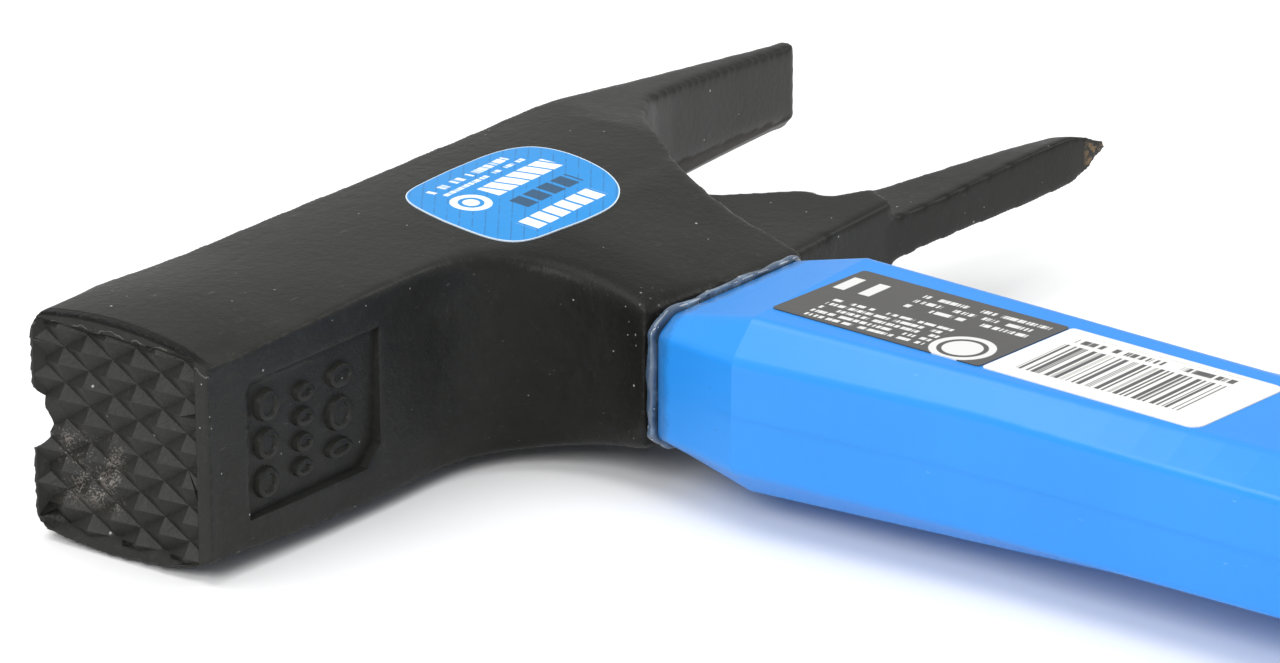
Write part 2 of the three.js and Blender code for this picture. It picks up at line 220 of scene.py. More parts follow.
class Surface:
    """A material with one principled shader. Positions are in millimetres in the head's frame."""

    def __init__(self, name, **constants):
        self.material = bpy.data.materials.new(name)
        self.material.use_nodes = True
        self.tree = self.material.node_tree
        self.shader = self.tree.nodes["Principled BSDF"]
        for socket, value in constants.items():
            self.shader.inputs[socket.replace("_", " ")].default_value = value
        self.place = None

    def node(self, kind, settings=None, sockets=None):
        """Adds a node: its settings first, and then the values or links of its sockets."""
        node = self.tree.nodes.new(kind)
        for key, value in (settings or {}).items():
            setattr(node, key, value)
        for key, value in (sockets or {}).items():
            socket = node.inputs[key]
            source = getattr(value, "socket", value)
            if isinstance(source, bpy.types.NodeSocket):
                self.tree.links.new(source, socket)
            else:
                socket.default_value = source
        return node

    def number(self, kind, settings=None, sockets=None, output=0):
        return Value(self, self.node(kind, settings, sockets).outputs[output])

    def math(self, operation, *values):
        return self.number("ShaderNodeMath", {"operation": operation}, dict(enumerate(values)))

    def position(self):
        if self.place is None:
            coordinate = self.node("ShaderNodeTexCoord").outputs["Object"]
            sockets = {0: coordinate, 1: (1000,) * 3, 2: tuple(-1000 * FACE_MIDDLE)}
            settings = {"operation": "MULTIPLY_ADD"}
            self.place = self.node("ShaderNodeVectorMath", settings, sockets).outputs[0]
        return self.place

    def axes(self, source=None):
        """The position's x, y and z."""
        node = self.node("ShaderNodeSeparateXYZ", None, {0: source or self.position()})
        return tuple(Value(self, output) for output in node.outputs)

    def stretched(self, x=1, y=1, z=1):
        """The position stretched along its axes, for grain with a direction."""
        sockets = {0: self.position(), 1: (x, y, z)}
        return self.node("ShaderNodeVectorMath", {"operation": "MULTIPLY"}, sockets).outputs[0]

    def noise(self, size, detail=2.0, roughness=0.5, source=None):
        """Noise from 0 to 1, with features about size millimetres across."""
        sockets = {
            "Vector": source or self.position(),
            "Scale": 1 / size,
            "Detail": detail,
            "Roughness": roughness,
        }
        return self.number("ShaderNodeTexNoise", None, sockets)

    def specks(self, spacing, radius, share):
        """Small round specks. A share of the cells, each spacing millimetres wide, holds one."""
        sockets = {"Vector": self.position(), "Scale": 1 / spacing}
        cells = self.node("ShaderNodeTexVoronoi", None, sockets)
        near = Value(self, cells.outputs["Distance"])
        pick = self.axes(cells.outputs["Color"])[0]
        size = radius / spacing
        return near.below(size, size * 0.35) * pick.below(share, 0.01)

    def mix(self, part, a, b):
        """Colour a where part is 0, and b where it is 1."""
        sockets = {0: part, 6: colour(a), 7: colour(b)}
        return self.node("ShaderNodeMix", {"data_type": "RGBA"}, sockets).outputs[2]

    def bump(self, height, distance):
        """Relief: a height of 1 stands distance millimetres proud."""
        sockets = {"Height": height, "Distance": distance / 1000, "Strength": 1.0}
        normal = self.node("ShaderNodeBump", None, sockets).outputs[0]
        self.tree.links.new(normal, self.shader.inputs["Normal"])

    def link(self, **values):
        for key, value in values.items():
            socket = getattr(value, "socket", value)
            self.tree.links.new(socket, self.shader.inputs[key.replace("_", " ")])
        return self.material


def colour(value):
    """Three numbers as the four that a colour socket takes. A link stays as it is."""
    return value if isinstance(value, bpy.types.NodeSocket) else (*tuple(value)[:3], 1)


def forged_steel(settings):
    """Satin black lacquer over a forging: orange peel, dust, worn points, a raw bevel and painted
    shade on the neck and prongs.
    """
    surface = Surface("forged_steel", IOR=1.45, Specular_IOR_Level=settings.gloss)
    x, y, z = surface.axes()
    broad = surface.noise(9, 3)
    fine = surface.noise(1.1, 3, 0.6)
    grit = surface.noise(0.28, 2, 0.6)
    toothed = x.below(1.9, 0.3)
    spike = x.above(104, 2) * y.below(-18, 1)
    tip = spike * (x + 2.5 * fine).above(154.6, 0.9) * surface.noise(0.9, 2).above(0.53, 0.05)
    rim_gap = FACE_HALF_Z - FACE_CROWN * (y - CROWN_Y) * (y - CROWN_Y) - z
    # A dark line along the face's top edge, also pressed in as a shallow groove
    top_edge_line = x.below(1.3, 0.3) * rim_gap.below(0.5, 0.15)
    run = abs(rim_gap - 1.5 - 3.2 * (surface.noise(2.6, 2) - 0.5)).below(0.13, 0.1)
    run = run * x.below(0.4, 0.2) * rim_gap.below(3.4, 0.3)
    bevel_edge = 2.0 - 0.115 * (x - 108) + 1.9 * (surface.noise(3, 2) - 0.5)
    bevel = x.above(106, 1.5) * y.inside(-9, 5.9, 0.15) * (bevel_edge - z).above(0.6, 0.4)
    neck_patch = y.inside(-34, -17, 3) * x.inside(34, 56, 2) * z.inside(-9, 9, 2)
    worn_teeth = toothed * y.inside(0.5, 10.5, 1.5) * z.inside(-9.5, -0.5, 1.5)
    worn_teeth = worn_teeth * (grit * 0.6 + surface.noise(2.4, 2) * 0.4).above(0.56, 0.03)
    dust = surface.specks(2.1, 0.1, 0.3) + surface.specks(4.4, 0.16, 0.3)
    mouth_dust = surface.specks(0.9, 0.15, 0.35) * y.below(-36, 4) * x.below(56, 3)
    dust = dust + mouth_dust * surface.noise(4, 1).above(0.5, 0.1)
    scratch_place = surface.stretched(0.12, 1.0, 1.0)
    scratches = surface.noise(0.5, 2, 0.5, scratch_place).above(0.735, 0.02)
    scratches = scratches * surface.noise(6, 1).above(0.55, 0.05)
    lacquer = surface.mix(broad, settings.lacquer_dark, settings.lacquer_light)
    lacquer = surface.mix(fine.above(0.66, 0.12) * 0.25, lacquer, (0.06, 0.06, 0.055))
    # Painted shade: the lacquer is darkened down the neck below the cheek, and on the claw and
    # spike
    painted_shade = (y.below(-19, 5) * x.below(62, 4)).largest(x.above(96, 8) * 0.7)
    lacquer = surface.mix(painted_shade * 0.6, lacquer, (0.003, 0.003, 0.0028))
    lacquer = surface.mix(bevel * 0.8, lacquer, (0.012, 0.008, 0.005))
    lacquer = surface.mix(tip * 0.75, lacquer, settings.worn_tip)
    lacquer = surface.mix(worn_teeth * 0.5, lacquer, (0.26, 0.23, 0.21))
    lacquer = surface.mix(top_edge_line * 0.85, lacquer, (0.002, 0.002, 0.002))
    lacquer = surface.mix(run * 0.55, lacquer, (0.14, 0.14, 0.13))
    lacquer = surface.mix(scratches * 0.3, lacquer, (0.16, 0.16, 0.15))
    lacquer = surface.mix(dust * 0.7, lacquer, (0.5, 0.5, 0.48))
    rough = 0.38 + 0.12 * (fine - 0.5) + 0.1 * (broad - 0.5) + 0.22 * bevel + 0.12 * neck_patch
    swell = surface.noise(2.7, 2) * (0.25 + 2.6 * neck_patch)
    peel = fine * 0.8 + grit * (0.32 + 0.4 * bevel) + swell
    peel = peel * (1 - 0.65 * x.above(98, 4)) + 1.2 * run - top_edge_line
    surface.bump(peel, settings.peel_height * 1000)
    return surface.link(Base_Color=lacquer, Roughness=rough, Metallic=0.55 * tip)


def blue_plastic(settings):
    """Moulded nylon: a saturated satin colour with faint flow marks, scuffs and dust."""
    surface = Surface("blue_plastic", Specular_IOR_Level=0.42)
    broad = surface.noise(22, 2)
    fine = surface.noise(0.6, 2, 0.6)
    flow = surface.noise(2.0, 2, 0.5, surface.stretched(1, 0.12, 1))
    scuffs = surface.noise(0.7, 2, 0.5, surface.stretched(1, 0.2, 1)).above(0.74, 0.02)
    scuffs = scuffs * surface.noise(9, 1).above(0.5, 0.06)
    dark = surface.specks(6, 0.12, 0.35)
    pale = surface.specks(4.3, 0.1, 0.3)
    plastic = surface.mix(broad, settings.blue_deep, settings.blue_light)
    plastic = surface.mix(flow * 0.18, plastic, settings.blue_light)
    plastic = surface.mix(scuffs * 0.25, plastic, (0.3, 0.55, 0.85))
    plastic = surface.mix(dark * 0.5, plastic, (0.01, 0.09, 0.3))
    plastic = surface.mix(pale * 0.45, plastic, (0.55, 0.75, 0.95))
    x, y, _ = surface.axes()
    from_joint = -42.3 - 0.1293 * (x - 51.4) - y
    smear = (from_joint + 1.6 * (surface.noise(2.6, 2) - 0.5)).below(1.3, 0.9)
    plastic = surface.mix(smear * 0.6, plastic, (0.02, 0.08, 0.19))
    surface.bump(fine * 0.5 + flow * 0.6 + 2 * smear, 0.02)
    rough = 0.3 + 0.1 * (fine - 0.5) + 0.12 * scuffs + 0.05 * flow - 0.14 * smear
    return surface.link(Base_Color=plastic, Roughness=rough)


def grip_rubber(settings):
    """Soft black rubber with a fine leather grain."""
    surface = Surface("grip_rubber", Specular_IOR_Level=0.35)
    sockets = {"Vector": surface.position(), "Scale": 1 / 0.9}
    cells = surface.node("ShaderNodeTexVoronoi", {"feature": "DISTANCE_TO_EDGE"}, sockets)
    grain = Value(surface, cells.outputs["Distance"]).above(0.12, 0.1)
    broad = surface.noise(12, 3)
    dust = surface.specks(3.1, 0.09, 0.3)
    rubber = surface.mix(broad, settings.rubber, varied(settings.rubber, 1.7))
    rubber = surface.mix(dust * 0.4, rubber, (0.3, 0.3, 0.3))
    surface.bump(grain * 0.7 + surface.noise(0.4, 2) * 0.3, 0.09)
    return surface.link(Base_Color=rubber, Roughness=0.68 + 0.14 * broad - 0.08 * grain)


def clear_resin(settings):
    """Potting resin: a dark clear skin with milky streaks, and white specks for small trapped
    bubbles and painted glints.
    """
    surface = Surface("clear_resin", Specular_IOR_Level=0.6, Coat_Weight=0.6, Coat_Roughness=0.05)
    milky = surface.noise(3.2, 3, 0.6).above(0.6, 0.12)
    # White specks: small trapped bubbles, and painted glints of light on the bead
    bubbles_and_glints = surface.specks(1.5, 0.22, 0.3) + surface.specks(0.8, 0.1, 0.25)
    bubbles_and_glints = bubbles_and_glints.smallest(1)
    resin = surface.mix(milky, settings.resin_dark, settings.resin_milky)
    resin = surface.mix(bubbles_and_glints * 0.8, resin, (0.75, 0.8, 0.82))
    surface.bump(surface.noise(1.6, 2) * 0.8 - 0.6 * bubbles_and_glints, 0.12)
    return surface.link(Base_Color=resin, Roughness=0.1 + 0.2 * bubbles_and_glints)


def glass_fibre():
    """Pultruded glass fibre: fine strands along the handle in a pale resin."""
    surface = Surface("glass_fibre", Specular_IOR_Level=0.5)
    strands = surface.noise(0.35, 3, 0.6, surface.stretched(1, 0.04, 1))
    ends = surface.specks(0.5, 0.16, 0.7)
    fibre = surface.mix(strands, (0.30, 0.26, 0.15), (0.62, 0.57, 0.40))
    fibre = surface.mix(ends * 0.5, fibre, (0.8, 0.78, 0.66))
    surface.bump(strands, 0.05)
    return surface.link(Base_Color=fibre, Roughness=0.42 + 0.2 * strands)


def magnet_metal():
    """Nickel plate with turning rings and a few nicks."""
    surface = Surface("magnet_metal", Specular_IOR_Level=0.5)
    x, _, z = surface.axes()
    from_middle = distance(x - MAGNET_X, z)
    rings = (from_middle * 3.2).fraction()
    nicks = surface.noise(0.4, 2).above(0.66, 0.04)
    plate = surface.mix(nicks, (0.55, 0.55, 0.56), (0.25, 0.24, 0.22))
    surface.bump(abs(rings - 0.5) + 0.5 * nicks, 0.03)
    metal = 1 - 0.3 * nicks
    return surface.link(Base_Color=plate, Roughness=0.22 + 0.2 * nicks, Metallic=metal)


def dashes(surface, along, across, pitch, thick, seed):
    """Rows of short strokes, like printing too small to read."""
    rows = across / pitch
    row = rows.whole()
    in_row = abs(rows.fraction() - 0.5).below(thick / pitch / 2, 0.04)
    key = surface.node("ShaderNodeCombineXYZ", None, {0: along, 1: row * 5.3 + seed}).outputs[0]
    strokes = surface.noise(0.4, 1, 0.5, key).above(0.46, 0.04)
    words = surface.noise(2.6, 0, 0.5, key).above(0.4, 0.02)
    return in_row * strokes * words


def film(name, **constants):
    """A printed film's surface, its axes turned to the strip: across it, and down the handle."""
    surface = Surface(name, Specular_IOR_Level=0.5, **constants)
    x, y, _ = surface.axes()
    x, y = x - LABEL_X, y - LABEL_Y
    across = x * math.cos(LABEL_TURN) + y * math.sin(LABEL_TURN)
    down = x * math.sin(LABEL_TURN) - y * math.cos(LABEL_TURN) + LABEL_SKEW * across
    return surface, across, down


def distance(a, b):
    return (a * a + b * b).root()


def blocks(along, gap):
    """A bar parted into blocks by even gaps."""
    return 1 - abs(along.fraction() - 0.5).below(gap, 0.03)


def varied(base, part):
    return tuple(part * c for c in base)


def grey_film(settings):
    """The care label: pale rows on a grey ground, a plain ring and two plain bars."""
    surface, across, down = film("grey_film", Coat_Weight=0.3, Coat_Roughness=0.2)
    left_rows = dashes(surface, down, across, 1.45, 0.8, 3.1) * across.inside(-6.9, -0.4, 0.05)
    left_rows = left_rows * down.inside(-26.5, -9.6, 0.05)
    right_rows = dashes(surface, down, across, 1.9, 0.95, 9.7) * across.inside(1.9, 7.6, 0.05)
    right_rows = right_rows * down.inside(-19, -1.2, 0.05)
    radius = distance(across + 4.9, down + 5.3)
    disc = radius.below(3.9, 0.06) * (1 - radius.inside(2.4, 3.0, 0.06))
    bars = down.inside(-29.2, -27.6, 0.1).largest(down.inside(-25.6, -24.0, 0.1))
    bars = bars * across.inside(2.6, 7.0, 0.1)
    print_mask = left_rows.largest(right_rows).largest(disc).largest(bars)
    wear = surface.noise(5, 3)
    ground = surface.mix(wear, settings.grey, varied(settings.grey, 1.25))
    face = surface.mix(print_mask * 0.85, ground, (0.82, 0.82, 0.8))
    surface.bump(surface.noise(1.4, 2), 0.02)
    return surface.link(Base_Color=face, Roughness=0.34 + 0.1 * wear)


def white_film(settings):
    """The stock label: plain black bars of many widths and one row of strokes."""
    surface, across, down = film("white_film", Coat_Weight=0.2, Coat_Roughness=0.3)
    key = surface.node("ShaderNodeCombineXYZ", None, {0: down}).outputs[0]
    bars = surface.noise(0.62, 1, 0.4, key).above(0.5, 0.03)
    bars = bars * across.inside(-6.3, 3.6, 0.05) * down.inside(3.0, 25.0, 0.03)
    strokes = dashes(surface, down, across + 0.3, 2.2, 1.3, 4.4)
    strokes = strokes * across.inside(4.3, 6.8, 0.05) * down.inside(2.5, 25.5, 0.05)
    wear = surface.noise(6, 3)
    paper = surface.mix(wear, settings.white, varied(settings.white, 0.93))
    face = surface.mix(bars.largest(strokes) * 0.93, paper, (0.02, 0.02, 0.025))
    surface.bump(surface.noise(1.2, 2), 0.02)
    return surface.link(Base_Color=face, Roughness=0.36 + 0.12 * wear)


def blue_film(settings):
    """The cheek label: fine hatching under plain white bars, a ring and a pale rim."""
    surface = Surface("blue_film", Specular_IOR_Level=0.3)
    x, y, _ = surface.axes()
    u, v = x - CHEEK_LABEL_X, y - CHEEK_LABEL_Y
    hatch = abs(((v * 0.82 - u * 0.57) * 0.62).fraction() - 0.5).below(0.05, 0.03)
    hatch = hatch * surface.noise(1.3, 1).above(0.42, 0.1)
    lines = dashes(surface, u, v - 9.3, 2.4, 1.4, 2.2)
    title = lines * v.inside(5.6, 9.3, 0.05) * u.inside(-8, 9, 0.05)
    bar = v.inside(0.7, 4.2, 0.08) * u.inside(-3.4, 10.4, 0.08)
    bar = bar * blocks(u * 0.42 + v * 0.12, 0.09)
    disc_radius = distance(u + 7.6, v - 2.0)
    disc = disc_radius.below(2.7, 0.06) * (1 - disc_radius.inside(1.1, 1.7, 0.06))
    dark_bar = v.inside(-4.2, -1.2, 0.08) * u.inside(-4, 8, 0.08)
    dark_bar = dark_bar * blocks(u * 0.34, 0.1)
    foot = v.inside(-9.0, -5.9, 0.08) * u.inside(-9, 6.5, 0.08)
    foot = foot * blocks(u * 0.4, 0.1)
    wear = surface.noise(7, 3)
    pale_print = title.largest(bar).largest(disc).largest(foot)
    ground = surface.mix(wear * 0.3, settings.label_blue, varied(settings.label_blue, 0.8))
    ground = surface.mix(hatch * 0.6, ground, (0.02, 0.12, 0.3))
    ground = surface.mix(pale_print * 0.95, ground, (0.9, 0.93, 0.95))
    ground = surface.mix(dark_bar * 0.85, ground, (0.02, 0.05, 0.08))
    edge = surface.number("ShaderNodeAttribute", {"attribute_name": "edge"}, None, output=2)
    face = surface.mix(edge.above(0.988, 0.003) * 0.8, ground, (0.8, 0.88, 0.93))
    surface.bump(surface.noise(1.6, 2), 0.02)
    return surface.link(Base_Color=face, Roughness=0.26 + 0.1 * wear)


def floor_surface(settings):
    """Plain pale floor."""
    surface = Surface("floor", Specular_IOR_Level=0.0)
    shade = surface.noise(400, 2)
    pale = surface.mix(shade, settings.floor, varied(settings.floor, 0.99))
    return surface.link(Base_Color=pale, Roughness=0.9 + 0.02 * shade)


# ---------------------------------------------------------------- mesh


def copy_of(node):
    """The CAD node's shape, merged, in millimetres in the head's frame."""
    bm = bmesh.new()
    bm.from_mesh(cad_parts[node].data)
    bmesh.ops.remove_doubles(bm, verts=bm.verts, dist=0.00001)
    bmesh.ops.transform(bm, matrix=TO_HEAD, verts=bm.verts)
    return bm


def copy_of_mesh(piece):
    bm = bmesh.new()
    bm.from_mesh(piece.data)
    return bm


def verts_of(geom):
    return [item for item in geom if isinstance(item, bmesh.types.BMVert)]


def sliced(bm, point, normal):
    """Cuts away what lies behind a plane, and gives the open rim that is left."""
    geom = bm.verts[:] + bm.edges[:] + bm.faces[:]
    bmesh.ops.bisect_plane(
        bm, geom=geom, dist=0.0001, plane_co=point, plane_no=normal, clear_inner=True
    )
    return [edge for edge in bm.edges if edge.is_boundary]


def workpiece(bm, name):
    """An object in the head's frame, on which modifiers are run before it is finished."""
    mesh = bpy.data.meshes.new(name)
    bm.to_mesh(mesh)
    bm.free()
    piece = bpy.data.objects.new(name, mesh)
    bpy.context.scene.collection.objects.link(piece)
    return piece


def modified(piece, kind, **settings):
    """Runs one modifier on a workpiece and keeps its result as the mesh."""
    modifier = piece.modifiers.new(kind, kind)
    for key, value in settings.items():
        setattr(modifier, key, value)
    bpy.context.view_layer.update()
    graph = bpy.context.evaluated_depsgraph_get()
    mesh = bpy.data.meshes.new_from_object(piece.evaluated_get(graph))
    piece.modifiers.clear()
    old = piece.data
    piece.data = mesh
    bpy.data.meshes.remove(old)
    return piece


def cut(piece, cutter):
    """Takes the cutter's shape away from a workpiece, and removes the cutter."""
    modified(piece, "BOOLEAN", operation="DIFFERENCE", solver="EXACT", object=cutter)
    bpy.data.objects.remove(cutter)
    return piece


def finished(piece, material, slot, *nodes, crease=40.0):
    """Places a workpiece in the row's frame, and gives it its finish and its body."""
    piece.data.transform(TO_ROW)
    piece.data.materials.clear()
    piece.data.materials.append(material)
    piece.data.shade_smooth()
    piece.data.set_sharp_from_angle(angle=math.radians(crease))
    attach(piece, "root")
    if nodes:
        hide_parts(*nodes)
    return piece


def repaint(node, material):
    """A CAD node whose shape is right gets its own finish."""
    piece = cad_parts[node]
    piece.data.materials.clear()
    piece.data.materials.append(material)


def tube(ys, profile):
    """A closed tube down the handle. profile(y) gives its corners there, as x and z, in order."""
    bm = bmesh.new()
    count = len(profile(ys[0]))
    bmesh.ops.create_circle(bm, cap_ends=True, segments=count, radius=1)
    corner = bm.verts.layers.int.new("corner")
    for index, vertex in enumerate(bm.verts):
        vertex[corner] = index
    ring, end = bm.verts[:], bm.faces[:]
    for step, y in enumerate(ys):
        if step:
            made = bmesh.ops.extrude_face_region(bm, geom=end)["geom"]
            ring = verts_of(made)
            end = [item for item in made if isinstance(item, bmesh.types.BMFace)]
        outline = profile(y)
        for vertex in ring:
            x, z = outline[vertex[corner]]
            vertex.co = (x, y, z)
    bmesh.ops.recalc_face_normals(bm, faces=bm.faces)
    return bm


def rounded_box(half_x, half_z, power, count):
    """Points round a box with well rounded corners, centred on the handle's axis."""
    points = []
    for index in range(count):
        angle = math.tau * (index + 0.5) / count
        c, s = math.cos(angle), math.sin(angle)
        reach = (abs(c) ** power + abs(s) ** power) ** (-1 / power)
        points.append((AXIS_X + half_x * c * reach, half_z * s * reach))
    return points


def steps(start, stop, size):
    count = max(1, round(abs(stop - start) / size))
    return [lerp(start, stop, index / count) for index in range(count + 1)]


# ---------------------------------------------------------------- head


def panel_place():
    """The frame of the stamped panel under the poll: along the head, out of it, and up."""
    return Matrix.Translation(PANEL_MIDDLE) @ Matrix.Rotation(-PANEL_SLOPE, 4, "Z")


def panel_floor(along, up):
    """How far inside the head's surface the panel's floor lies."""
    return 0.25 + 0.028 * along - 0.036 * up


def panel_cutter():
    """The stamped panel, deepest at its lower back corner, which is cut off."""
    outline = [(-11.6, -8.9), (9.2, -8.9), (11.7, -6.4), (11.7, 8.8), (-11.6, 8.8)]
    bm = bmesh.new()
    bmesh.ops.create_circle(bm, cap_ends=True, segments=len(outline), radius=1)
    for vertex, (along, up) in zip(bm.verts, outline):
        vertex.co = (along, panel_floor(along, up), up)
    made = bmesh.ops.extrude_face_region(bm, geom=bm.faces[:])["geom"]
    for vertex in verts_of(made):
        vertex.co = (vertex.co.x * 1.05, -6, vertex.co.z * 1.06)
    bmesh.ops.transform(bm, matrix=panel_place(), verts=bm.verts)
    bmesh.ops.recalc_face_normals(bm, faces=bm.faces)
    return workpiece(bm, "panel")


def stamped_marks(piece):
    """Plain raised pads on the floor of the stamped panel, in three rows."""
    pads = [(-8.2, w, 1.9, 1.95) for w in (-5.2, -0.2, 4.8)]
    pads += [(-1.6, w, 1.6, 1.15) for w in (-5.4, -2.1, 1.2, 4.5)]
    pads += [(5.0, -5.0, 2.2, 1.2), (5.0, -0.4, 2.2, 2.2), (5.0, 4.6, 2.2, 1.5)]
    outward = Matrix.Rotation(math.radians(90), 4, "X")
    bm = bmesh.new()
    bm.from_mesh(piece.data)
    for along, up, half_along, half_up in pads:
        spot = Matrix.Translation((along, panel_floor(along, up), up))
        place = panel_place() @ spot @ outward @ Matrix.Diagonal((half_along, half_up, 1, 1))
        pad = bmesh.ops.create_cone(
            bm, cap_ends=True, segments=28, radius1=1.15, radius2=0.95, depth=1.5, matrix=place
        )["verts"]
        sides = (face for vertex in pad for face in vertex.link_faces)
        top = min(sides, key=lambda face: face.calc_center_median().y)
        bmesh.ops.inset_individual(bm, faces=[top], thickness=0.2, depth=0.14)
        bmesh.ops.inset_individual(bm, faces=[top], thickness=0.35, depth=0.02)
        bmesh.ops.inset_individual(bm, faces=[top], thickness=0.25, depth=-0.35)
    bm.to_mesh(piece.data)
    bm.free()
    return piece


def forged_blank(settings):
    """The head's shape with a plain striking face, as one even skin with its sharp edges kept true.
    """
    bm = copy_of("head")
    behind_teeth = (1.6, 0, 0)
    made = bmesh.ops.extrude_edge_only(bm, edges=sliced(bm, behind_teeth, (1, 0, 0)))["geom"]
    for vertex in verts_of(made):
        vertex.co.x = 0
    rim = [item for item in made if isinstance(item, bmesh.types.BMEdge)]
    bmesh.ops.holes_fill(bm, edges=rim)
    bmesh.ops.recalc_face_normals(bm, faces=bm.faces)
    exact = workpiece(bm, "exact_shape")
    piece = workpiece(copy_of_mesh(exact), "hammer_head")
    # Turned askew for the grid, so that no edge runs along it and comes out stepped
    askew = Euler((0.26, -0.6155, 0.785)).to_matrix().to_4x4()
    piece.data.transform(askew)
    modified(piece, "REMESH", mode="VOXEL", voxel_size=mm(settings.forging_grain))
    piece.data.transform(askew.inverted())
    modified(piece, "SHRINKWRAP", target=exact, wrap_method="NEAREST_SURFACEPOINT")
    crisp(piece, exact, 0.32)
    bpy.data.objects.remove(exact)
    return piece


def crisp(piece, exact, reach):
    """Moves vertices that lie close to a sharp edge of the exact shape onto it, so it runs true."""
    bm = bmesh.new()
    bm.from_mesh(exact.data)
    places = []
    for edge in bm.edges:
        if edge.calc_face_angle(0) > 0.35:
            start, end = (vertex.co.copy() for vertex in edge.verts)
            count = max(1, round((end - start).length / 0.12))
            places += [start.lerp(end, step / count) for step in range(count + 1)]
    bm.free()
    tree = KDTree(len(places))
    for index, place in enumerate(places):
        tree.insert(place, index)
    tree.balance()
    flat = []
    for vertex in piece.data.vertices:
        place, _, gap = tree.find(vertex.co)
        flat.extend(place if gap < reach else vertex.co)
    piece.data.vertices.foreach_set("co", flat)
    piece.data.update()


def softness(place):
    """How far the forging is rounded at a place: least at its points, most down the neck."""
    x, y, _ = place
    soft = lerp(0.1, 1.0, smoothstep(-13, -22, y) if x < PRONGS_X else 0)
    soft = max(soft, 0.22 * smoothstep(2.5, 8, x))
    if x > PRONGS_X:
        soft = 0.5 if y > CLAW_LOW_Y else 0.3
        soft *= 1 - 0.6 * smoothstep(149, 154, x)
    if abs(x - AXIS_X) < 17 and y < -36:
        soft = min(soft, 0.3)
    return soft


def wide_softness(place):
    """How far edges are rounded again: fully at the front of the neck, a little on the prongs."""
    x, y, z = place
    if x > PRONGS_X:
        soft = 0.14 if y > CLAW_LOW_Y else 0.06
        return soft * smoothstep(98, 102, x) * smoothstep(154, 149, x)
    at_front = smoothstep(-15, -21, y) * smoothstep(-43.5, -39, y) * (x < 66)
    return at_front * smoothstep(6, 8, abs(z))


def soften(piece, settings):
    """Rounds the forging's edges, each by as much as its place asks for."""
    for weight, rounds in ((softness, 1), (wide_softness, 3)):
        piece.vertex_groups.clear()
        group = piece.vertex_groups.new(name="soft")
        for vertex in piece.data.vertices:
            group.add([vertex.index], weight(vertex.co), "REPLACE")
        passes = rounds * settings.edge_rounds
        modified(piece, "SMOOTH", factor=0.5, iterations=passes, vertex_group="soft")
    return piece


def shaping(place):
    """Moves in z: the poll's corners fall away, and the spike swells just behind its point."""
    x, y, z = place
    corner = (2.6 if z > 0 else 1.1) * smoothstep(11.2, 14.3, y) ** 2
    corner += 0.5 * smoothstep(-9, -13.3, y)
    fall = corner * smoothstep(13, 2, x) * smoothstep(6, 14, abs(z))
    bulge = smoothstep(116, 146, x) * smoothstep(157.5, 149.5, x) * smoothstep(-16, -22, y)
    return Vector((0, 0, (bulge * min(1, abs(z) / 1.5) - fall) * math.copysign(1, z)))


def pushed(piece, reach, shift=lambda place: Vector()):
    """Moves each vertex along its normal, by what reach gives for its place, and then by shift."""
    mesh = piece.data
    places = [vertex.co.copy() for vertex in mesh.vertices]
    normals = [vertex.normal.copy() for vertex in mesh.vertices]
    flat = []
    for place, normal in zip(places, normals):
        flat.extend(place + normal * reach(place) + shift(place))
    mesh.vertices.foreach_set("co", flat)
    mesh.update()
    return piece


def pit(piece, settings):
    """Hammer scale and flow in the forging, as small moves along the surface's normal."""
    depth = mm(settings.scale_depth)

    def reach(place):
        x, y, z = place
        neck = smoothstep(-16, -20, y) * smoothstep(56, 48, x) * smoothstep(12, 6, abs(z))
        prongs = smoothstep(PRONGS_X, PRONGS_X + 6, x)
        rough = (1 + 1.6 * neck) * smoothstep(0.2, 2.5, x) * (1 - 0.8 * prongs)
        broad = noise.noise(place / 11)
        small = noise.noise(place / 2.1 + Vector((7, 3, 1)))
        return depth * (0.7 * broad + 0.4 * small * rough - 0.55)

    return pushed(piece, reach, shaping)


def furrows(side, settings):
    """V-shaped furrows in one direction over the toothed part of the face."""
    pitch_y, pitch_z = mm(settings.tooth_pitch_y), mm(settings.tooth_pitch_z)
    angle = math.atan2(pitch_z, pitch_y)
    spacing = pitch_y * math.sin(angle)
    ridge = spacing / 2 + 0.42
    depth = mm(settings.tooth_depth)
    start = 1.07 if side > 0 else 2.93
    bm = bmesh.new()
    for row in range(-6, 7):
        # Above the valley the wall is long, and below it the wall is steep
        above = ridge - 0.03
        below = spacing - ridge - 0.03
        out = 0.5 / depth
        low = bm.verts.new((depth, 0, 0))
        upper = bm.verts.new((-0.5, 0, above * (1 + out)))
        lower = bm.verts.new((-0.5, 0, -below * (1 + out)))
        face = bm.faces.new((low, upper, lower))
        made = bmesh.ops.extrude_face_region(bm, geom=[face])["geom"]
        far = verts_of(made)
        near = [low, upper, lower]
        bmesh.ops.translate(bm, verts=near, vec=(0, -40, 0))
        bmesh.ops.translate(bm, verts=far, vec=(0, 40, 0))
        turn = Matrix.Rotation(side * angle, 4, "X")
        move = Matrix.Translation((0, start + pitch_y * row, 0))
        bmesh.ops.transform(bm, matrix=move @ turn, verts=near + far)
    borders = (
        ((0, -11.6, 0), (-0.9, 1, 0)),
        ((0, 13.3, 0), (-0.9, -1, 0)),
        ((0, 0, 13.5), (-0.9, 0, -1)),
        ((0, 0, -14.0), (-0.9, 0, 1)),
    )
    for point, normal in borders:
        bmesh.ops.holes_fill(bm, edges=sliced(bm, point, normal))
    bmesh.ops.recalc_face_normals(bm, faces=bm.faces)
    return workpiece(bm, "furrows")


# ---------------------------------------------------------------- handle


